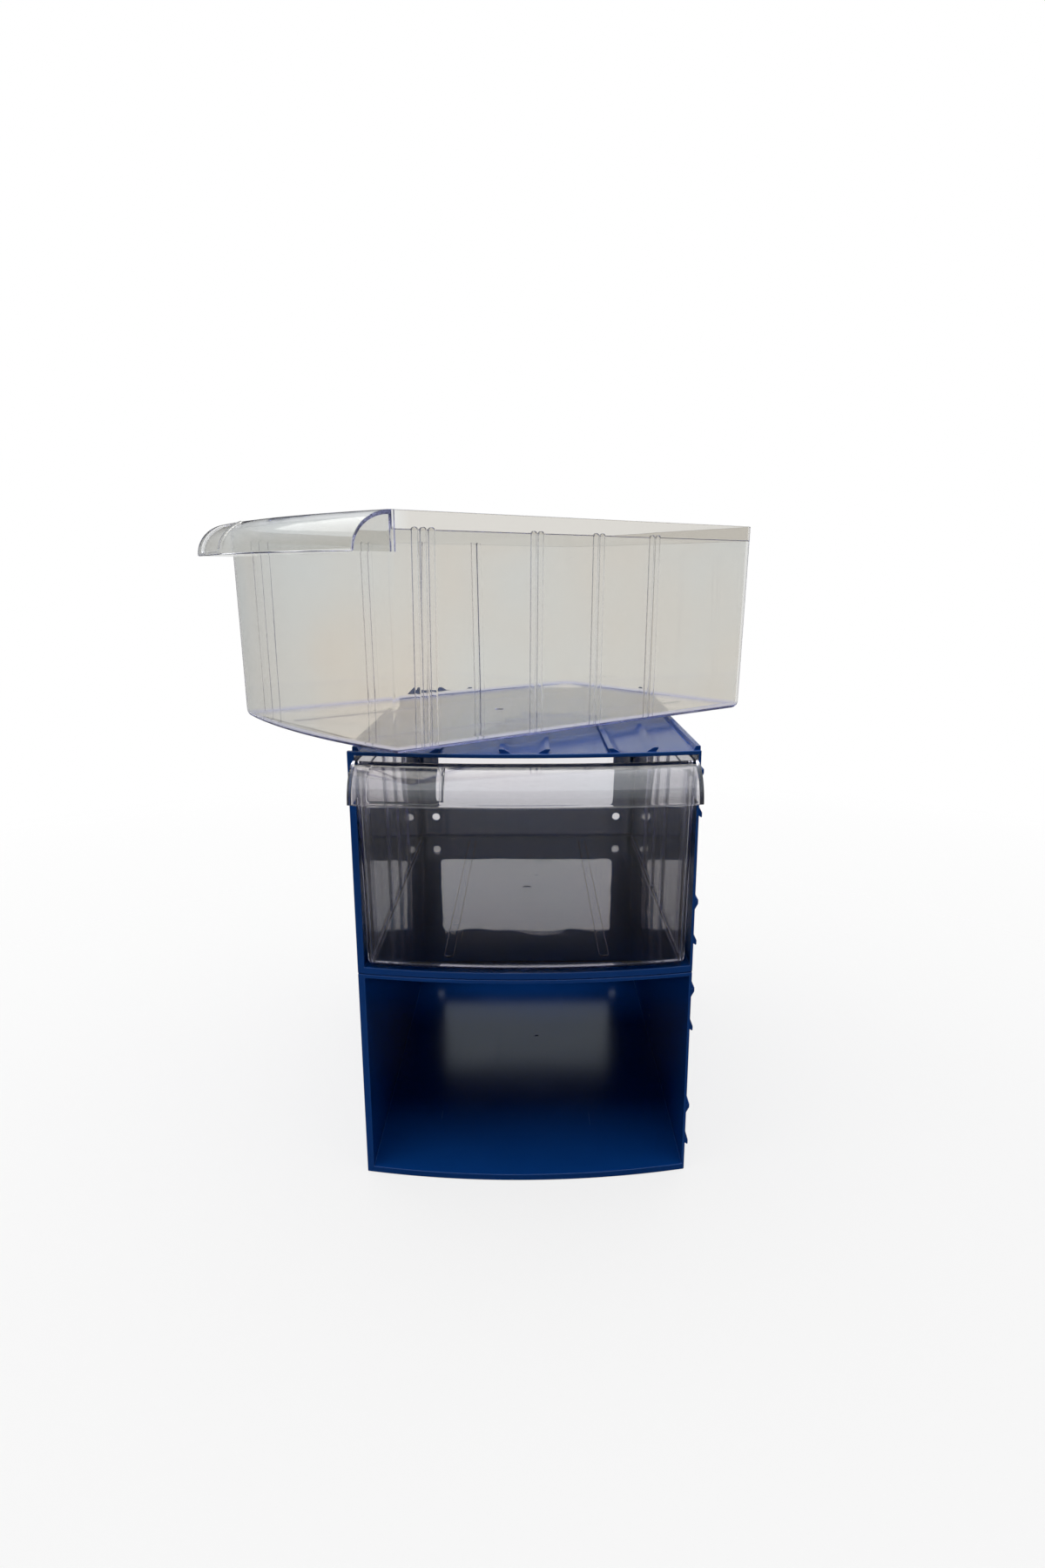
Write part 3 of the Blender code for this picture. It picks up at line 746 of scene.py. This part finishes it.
def runner_meshes():
    """Two low runners below the drawer's floor."""
    half = RUNNER_WIDTH / 2
    offset = DRAWER_HALF - RUNNER_FROM_SIDE
    front = bow_y(offset) + RUNNER_FROM_END
    back = DRAWER_BACK - RUNNER_FROM_END
    runners = []
    for middle in (-offset, offset):
        outline = rounded([
            (middle - half, front, half - END_FLAT),
            (middle + half, front, half - END_FLAT),
            (middle + half, back, half - END_FLAT),
            (middle - half, back, half - END_FLAT),
        ])
        runner = prism(outline, 0.0, RUNNER_HEIGHT + DRAWER_FLOOR / 2)
        runners.append(softened(runner, RUNNER_EASE, at_level(0.0)))
    return joined(runners)


def drawer_mesh():
    """One drawer: a drafted open tub with a hooded front, divider ribs inside and two runners below."""
    tub = drafted(prism(inset_plan(0.0), RUNNER_HEIGHT, DRAWER_HEIGHT), RUNNER_HEIGHT,
                  SIDE_DRAFT, FRONT_DRAFT, BACK_DRAFT, BOTTOM_ROUND)
    hollow = prism(inset_plan(DRAWER_WALL), DRAWER_FLOOR_TOP, DRAWER_HEIGHT + FIT_GAP)
    hollow = drafted(hollow, DRAWER_FLOOR_TOP, SIDE_DRAFT, FRONT_DRAFT, BACK_DRAFT, INNER_ROUND)
    tub = boolean(tub, hollow, "DIFFERENCE")
    gate = circle(0.0, (DRAWER_BACK - FRONT_BOW) / 2, DRAWER_GATE_RADIUS)
    tub = boolean(tub, prism(gate, DRAWER_FLOOR_TOP - GATE_HEIGHT, DRAWER_HEIGHT), "DIFFERENCE")
    band = prism(inset_plan(DRAWER_WALL - RIM_STEP), RIM_LEDGE, DRAWER_HEIGHT + OVER)
    band = softened(band, STEP_EASE, at_level(RIM_LEDGE))
    tub = softened(boolean(tub, band, "DIFFERENCE"), RIM_EASE, at_level(DRAWER_HEIGHT))
    tub = boolean(tub, rib_meshes(), "UNION")
    tub = boolean(tub, hood_mesh(), "UNION")
    tub = boolean(tub, label_mesh(), "DIFFERENCE")
    tub = boolean(tub, label_bead_mesh(), "UNION")
    return boolean(tub, runner_meshes(), "UNION")


def piece(name, mesh, material, node, body, place, turn=0.0):
    """A visual piece that stands for a CAD node and rides on its body."""
    own = mesh.copy()
    own.transform(Matrix.Translation(place) @ Matrix.Rotation(turn, 4, "Z"))
    own.materials.append(material)
    own.shade_smooth()
    own.set_sharp_from_angle(angle=SMOOTH_ANGLE)
    obj = bpy.data.objects.new(name, own)
    bpy.context.scene.collection.objects.link(obj)
    flat = obj.modifiers.new("flat faces", "WEIGHTED_NORMAL")
    flat.mode = "FACE_AREA"
    flat.weight = FLAT_WEIGHT
    flat.keep_sharp = True
    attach(obj, body)
    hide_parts(node)
    return obj


def add(tree, kind, values=None, **settings):
    """A shader node with its settings, and its inputs set to values or linked to other nodes' outputs."""
    node = tree.nodes.new(kind)
    for key, value in settings.items():
        setattr(node, key, value)
    for key, value in (values or {}).items():
        if isinstance(value, bpy.types.NodeSocket):
            tree.links.new(value, node.inputs[key])
        else:
            node.inputs[key].default_value = value
    return node


def new_material(name):
    """A material with an empty tree, its output, and the object's own coordinates in metres."""
    material = bpy.data.materials.new(name)
    material.use_nodes = True
    tree = material.node_tree
    tree.nodes.clear()
    output = add(tree, "ShaderNodeOutputMaterial")
    place = add(tree, "ShaderNodeTexCoord").outputs["Object"]
    return material, tree, output, place


def noise(tree, place, scale=1.0, detail=2.0, stretch=None):
    """A cloudy value about a half, stretched along the axes on request."""
    if stretch:
        place = add(tree, "ShaderNodeMapping", {"Vector": place, "Scale": stretch}).outputs["Vector"]
    values = {"Vector": place, "Scale": scale, "Detail": detail}
    return add(tree, "ShaderNodeTexNoise", values).outputs["Fac"]


def spread(tree, value, span, to=(0.0, 1.0)):
    """A value within one span mapped to another."""
    return add(tree, "ShaderNodeMapRange", {
        "Value": value,
        "From Min": span[0], "From Max": span[1],
        "To Min": to[0], "To Max": to[1],
    }).outputs["Result"]


def maths(tree, operation, *values):
    """The result of a calculation with one to three values."""
    return add(tree, "ShaderNodeMath", dict(enumerate(values)), operation=operation).outputs[0]


def mixed(tree, factor, first, second):
    """A colour between two others."""
    values = {MIX_FACTOR: factor, MIX_FIRST: first, MIX_SECOND: second}
    return add(tree, "ShaderNodeMix", values, data_type="RGBA").outputs[MIX_RESULT]


def worn_and_sheen_edges(tree):
    """How much an edge is painted pale, partly as wear and partly as a painted highlight: most where the
    face turns away sharply.
    """
    facing = add(tree, "ShaderNodeNewGeometry").outputs["Normal"]
    soft = add(tree, "ShaderNodeBevel", {"Radius": WORN_SHEEN_RADIUS}, samples=WORN_SHEEN_SAMPLES).outputs["Normal"]
    level = add(tree, "ShaderNodeVectorMath", {0: soft, 1: facing}, operation="DOT_PRODUCT")
    return spread(tree, level.outputs["Value"], WORN_SHEEN_SPAN, (0.0, WORN_SHEEN_SHARE))


def blue_plastic():
    """Semi-gloss moulded blue: cloudy tone, fine grain, rubbed streaks along the slides, paler edges that
    are part wear and part painted highlight.
    """
    material, tree, output, place = new_material("housing_blue")
    cloud = noise(tree, place, CLOUD_SCALE, CLOUD_DETAIL)
    tone = mixed(tree, spread(tree, cloud, CLOUD_SPAN), BLUE_DEEP, BLUE_PALE)
    # Edges painted paler: part wear, part painted highlight
    colour = mixed(tree, worn_and_sheen_edges(tree), tone, BLUE_WORN_AND_SHEEN)
    streak = spread(tree, noise(tree, place, stretch=STREAK_STRETCH), STREAK_SPAN)
    gloss = spread(tree, cloud, CLOUD_SPAN, CLOUD_ROUGHNESS)
    rough = maths(tree, "MULTIPLY_ADD", streak, STREAK_ROUGHNESS, gloss)
    grain = noise(tree, place, GRAIN_SCALE, PLAIN)
    wave = noise(tree, place, WAVE_SCALE, PLAIN)
    height = maths(tree, "MULTIPLY_ADD", wave, WAVE_WEIGHT, grain)
    bump = add(tree, "ShaderNodeBump", {
        "Height": height, "Strength": GRAIN_STRENGTH, "Distance": GRAIN_HEIGHT,
    })
    shader = add(tree, "ShaderNodeBsdfPrincipled", {
        "Base Color": colour, "Roughness": rough, "Normal": bump.outputs["Normal"],
        "IOR": BLUE_IOR, "Specular IOR Level": BLUE_SPECULAR,
    })
    tree.links.new(shader.outputs["BSDF"], output.inputs["Surface"])
    return material


def drawer_place(tree, place, origin, turn):
    """The drawer's own coordinates, from the middle of its front and the foot of its runners."""
    values = {"Vector": place, "Location": origin, "Rotation": (0, 0, turn)}
    inside = add(tree, "ShaderNodeMapping", values, vector_type="TEXTURE").outputs["Vector"]
    return add(tree, "ShaderNodeSeparateXYZ", {0: inside}).outputs


def levelness(tree):
    """How level a face lies: 0 for upright ones, 1 for level ones."""
    facing = add(tree, "ShaderNodeNewGeometry").outputs["Normal"]
    return maths(tree, "ABSOLUTE", add(tree, "ShaderNodeSeparateXYZ", {0: facing}).outputs["Z"])


def scuffed_and_glowing_foot(tree, height, level):
    """Where sliding has scuffed the drawer, and where a pale glow is painted: the round edge between its
    floor and its walls.
    """
    low = spread(tree, height, (BOTTOM_ROUND + RUNNER_HEIGHT, BOTTOM_ROUND / 2))
    sloped = spread(tree, level, SCUFF_AND_GLOW_SPAN)
    return maths(tree, "MULTIPLY", low, sloped)


def rim_band_shade(tree, depth, height):
    """Where the drawer's tint is darkened as painted shade: the band along its rim, behind the hood."""
    high = spread(tree, height, (RIM_LEDGE - RIM_EASE, RIM_LEDGE))
    behind_hood = spread(tree, depth, (0.0, RIM_BAND))
    return maths(tree, "MULTIPLY", high, behind_hood)


def clear_plastic(name, cool, warm, rim, foot_glow, origin, turn):
    """Clear crystal plastic: faintly tinted, bluish in depth, with upright flow marks and finger haze,
    a rim band tinted darker as painted shade, and a foot edge scuffed by sliding and painted with a pale
    glow."""
    material, tree, output, place = new_material(name)
    own = drawer_place(tree, place, origin, turn)
    level = levelness(tree)
    # Foot edge: scuffed, which roughens it, and painted with a pale glow in colour and in less light
    # passing
    foot_scuff_and_glow = scuffed_and_glowing_foot(tree, own["Z"], level)
    # Rim band: a darker tint painted there as shade
    shaded_rim_band = rim_band_shade(tree, own["Y"], own["Z"])
    tint = mixed(tree, spread(tree, noise(tree, place, TINT_SCALE), TINT_SPAN), cool, warm)
    # Colour: the rim band darkened as painted shade, the foot edge a painted pale glow
    colour = mixed(tree, foot_scuff_and_glow, mixed(tree, shaded_rim_band, tint, rim), CLEAR_EDGE_GLOW)
    haze = noise(tree, place, HAZE_SCALE, HAZE_DETAIL)
    smear = spread(tree, haze, HAZE_SPAN, (0.0, HAZE_ROUGHNESS))
    rough = maths(tree, "MULTIPLY_ADD", foot_scuff_and_glow, SCUFF_ROUGHNESS, smear)
    # Less light passes at the foot edge, to show its painted pale glow
    through = spread(tree, foot_scuff_and_glow, (0.0, 1.0), (1.0, 1.0 - foot_glow))
    bump = add(tree, "ShaderNodeBump", {
        "Height": noise(tree, place, detail=PLAIN, stretch=FLOW_STRETCH),
        "Strength": spread(tree, level, FLOW_LEVELS, FLOW_STRENGTHS),
        "Distance": FLOW_HEIGHT,
    })
    shader = add(tree, "ShaderNodeBsdfPrincipled", {
        "Base Color": colour, "Roughness": rough, "Normal": bump.outputs["Normal"],
        "IOR": CLEAR_IOR, "Transmission Weight": through,
    })
    depth = add(tree, "ShaderNodeVolumeAbsorption", {"Color": CLEAR_DEPTH, "Density": CLEAR_DENSITY})
    tree.links.new(shader.outputs["BSDF"], output.inputs["Surface"])
    tree.links.new(depth.outputs["Volume"], output.inputs["Volume"])
    return material


def build_object():
    """Two housings of one shape, and two drawers of one shape that differ in tint."""
    housing = housing_mesh()
    drawer = drawer_mesh()
    blue = blue_plastic()
    fitted_at = (DRAWER_CENTRE_X, FRAME_Y, DRAWER_LOW.z)
    loose_at = (LOOSE_X, LOOSE_Y + FRAME_Y, LOOSE_LOW.z)
    clear_cool = clear_plastic("drawer_clear_cool", FITTED_COOL, FITTED_WARM, FITTED_RIM_SHADE, FITTED_FOOT_GLOW,
                               fitted_at, 0.0)
    clear_warm = clear_plastic("drawer_clear_warm", LOOSE_COOL, LOOSE_WARM, LOOSE_RIM_SHADE, LOOSE_FOOT_GLOW,
                               loose_at, LOOSE_TURN)
    piece("housing_lower", housing, blue, "lower_housing", "lower_module",
          (0, FRAME_Y, 0))
    piece("housing_upper", housing, blue, "upper_housing", "upper_module",
          (0, FRAME_Y, STACK_PITCH))
    piece("drawer_fitted", drawer, clear_cool, "fitted_drawer", "drawer_in_bay",
          fitted_at)
    piece("drawer_loose", drawer, clear_warm, "loose_drawer", "drawer_on_top",
          loose_at, LOOSE_TURN)


def floor_white():
    """Matte white that glows where it is looked at, all but its share of shadow, and fades far off."""
    material, tree, output, place = new_material("floor_white")
    path = add(tree, "ShaderNodeLightPath").outputs
    bounce = mixed(tree, path["Is Diffuse Ray"], FLOOR_WHITE, FLOOR_BOUNCE)
    tone = mixed(tree, path["Is Glossy Ray"], bounce, FLOOR_DARK)
    matte = add(tree, "ShaderNodeBsdfDiffuse", {"Color": tone})
    white = add(tree, "ShaderNodeEmission", {"Color": WHITE, "Strength": 1.0})
    unmirrored = spread(tree, path["Glossy Depth"], (0.0, 1.0), (1.0, 0.0))
    through = maths(tree, "MULTIPLY", path["Is Transmission Ray"], unmirrored)
    seen = maths(tree, "MAXIMUM", path["Is Camera Ray"], through)
    share = maths(tree, "MULTIPLY", seen, 1.0 - FLOOR_SHADE)
    lit = add(tree, "ShaderNodeMixShader", {0: share, 1: matte.outputs[0], 2: white.outputs[0]})
    far = add(tree, "ShaderNodeVectorMath", {0: place}, operation="LENGTH").outputs["Value"]
    fade = spread(tree, far, FLOOR_FADE)
    clear = add(tree, "ShaderNodeBsdfTransparent")
    blend = add(tree, "ShaderNodeMixShader", {0: fade, 1: lit.outputs[0], 2: clear.outputs[0]})
    tree.links.new(blend.outputs[0], output.inputs["Surface"])
    return material


def build_floor():
    """A plain white floor that takes the object's shadow and fades into the white surround."""
    mesh = bpy.data.meshes.new("floor")
    half = FLOOR_SIZE / 2
    corners = [(-half, -half, 0), (half, -half, 0), (half, half, 0), (-half, half, 0)]
    mesh.from_pydata(corners, [], [(0, 1, 2, 3)])
    floor = bpy.data.objects.new("floor", mesh)
    floor.location = (0, 0, -FLOOR_DROP)
    bpy.context.scene.collection.objects.link(floor)
    mesh.materials.append(floor_white())


def build_world():
    """Even soft light, a white surround, and for reflections a room that is darker towards the horizon
    and dark all round once it is mirrored twice."""
    world = bpy.data.worlds.new("studio")
    bpy.context.scene.world = world
    world.use_nodes = True
    tree = world.node_tree
    tree.nodes.clear()
    output = add(tree, "ShaderNodeOutputWorld")
    path = add(tree, "ShaderNodeLightPath").outputs
    way = add(tree, "ShaderNodeTexCoord").outputs["Generated"]
    upward = add(tree, "ShaderNodeSeparateXYZ", {0: way}).outputs["Z"]
    room = mixed(tree, spread(tree, upward, ROOM_RISE), ROOM_HORIZON, ROOM_OVERHEAD)
    again = spread(tree, path["Glossy Depth"], (1.0, 2.0))
    mirrored = mixed(tree, again, room, ROOM_HORIZON)
    light = mixed(tree, path["Is Glossy Ray"], WORLD_LIGHT, mirrored)
    seen = maths(tree, "MAXIMUM", path["Is Camera Ray"], path["Is Transmission Ray"])
    colour = mixed(tree, seen, light, WHITE)
    sky = add(tree, "ShaderNodeBackground", {"Color": colour, "Strength": 1.0})
    tree.links.new(sky.outputs[0], output.inputs["Surface"])


def build_lamp():
    """One large soft lamp overhead."""
    data = bpy.data.lights.new("overhead", "AREA")
    data.shape = "SQUARE"
    data.size = LAMP_SIZE
    data.energy = LAMP_POWER
    lamp = bpy.data.objects.new("overhead", data)
    lamp.location = LAMP_PLACE
    lamp.visible_glossy = False
    bpy.context.scene.collection.objects.link(lamp)


def build_camera():
    """The camera that the scene is seen through."""
    data = bpy.data.cameras.new("camera")
    data.sensor_fit = "VERTICAL"
    data.sensor_height = CAMERA_SENSOR
    data.lens = CAMERA_LENS
    data.shift_x, data.shift_y = CAMERA_SHIFT
    camera = bpy.data.objects.new("camera", data)
    camera.location = CAMERA_PLACE
    camera.rotation_euler = (math.pi / 2 - CAMERA_PITCH, 0, -CAMERA_YAW)
    bpy.context.scene.collection.objects.link(camera)
    bpy.context.scene.camera = camera


build_object()
build_floor()
build_world()
build_lamp()
build_camera()
scene = bpy.context.scene
scene.view_settings.view_transform = "Standard"
scene.cycles.max_bounces = LIGHT_BOUNCES
scene.cycles.glossy_bounces = LIGHT_BOUNCES
scene.cycles.transmission_bounces = LIGHT_BOUNCES
